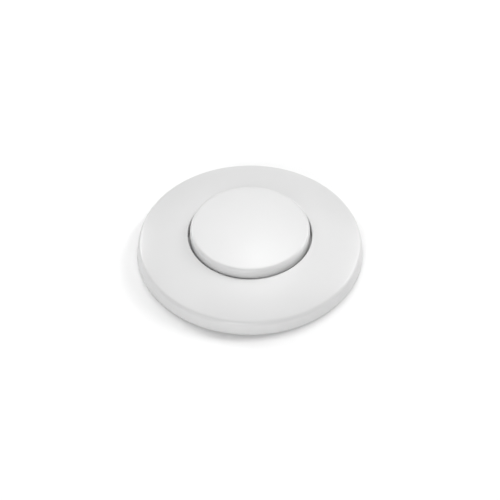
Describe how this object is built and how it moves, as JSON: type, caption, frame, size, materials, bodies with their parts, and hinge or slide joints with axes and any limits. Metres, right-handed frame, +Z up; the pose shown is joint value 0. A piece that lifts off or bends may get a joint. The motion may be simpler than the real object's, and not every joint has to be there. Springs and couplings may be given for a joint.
{
  "type": "round push-button switch",
  "caption": "Flat round battery-powered push-button switch: a sloping flanged case with a large domed button in the centre.",
  "frame": {"origin": "centre of the underside, on the surface that the rubber feet rest on", "axes": "+Z up through the button's crown, -Y the front, +X to the right, keyholes along X"},
  "size_m": [0.06, 0.06, 0.0103],
  "materials": {
    "white_cover": "satin moulded",
    "white_button": "satin moulded",
    "white_base": "fine texture moulded",
    "rubber": "matt",
    "screw_steel": "zinc plated",
    "cell_steel": "nickel plated",
    "spring_steel": "bright rolled",
    "gasket_plastic": "matt",
    "board_green": "solder mask",
    "black_plastic": "matt moulded",
    "solder_tin": "tinned",
    "ceramic_white": "matt",
    "ceramic_tan": "matt"
  },
  "bodies": {
    "case": {"top_cover": "white_cover", "base_plate": "white_base", "rubber_feet": "rubber", "case_screws": "screw_steel", "board_screws": "screw_steel", "cell_can": "cell_steel", "cell_gasket": "gasket_plastic", "cell_cap": "cell_steel", "positive_clip": "spring_steel", "negative_spring": "spring_steel", "circuit_board": "board_green", "switch_base": "black_plastic", "switch_cover": "spring_steel", "switch_terminals": "solder_tin", "contact_dome": "spring_steel", "radio_chip": "black_plastic", "crystal": "spring_steel", "chip_antenna": "ceramic_white", "capacitors": "ceramic_tan", "resistors": "black_plastic", "return_springs": "spring_steel"},
    "button": {"push_button": "white_button"},
    "plunger": {"switch_plunger": "black_plastic"},
    "door": {"battery_door": "white_base"}
  },
  "joints": [
    {"name": "button_press", "type": "slide", "parent": "case", "child": "button", "axis": [0, 0, -1], "range_m": [0, 0.0004], "stiffness_N_per_m": 600, "springref_m": -0.002, "deforming": ["return_springs"]},
    {"name": "switch_press", "type": "slide", "parent": "case", "child": "plunger", "axis": [0, 0, -1], "range_m": [0, 0.0004], "deforming": ["contact_dome"]},
    {"name": "door_turn", "type": "hinge", "parent": "case", "child": "door", "pos_m": [0, 0, 0.0004], "axis": [0, 0, -1], "range_deg": [0, 30]}
  ],
  "couplings": [
    {"joint": "switch_press", "follows": "button_press", "ratio": 1}
  ]
}
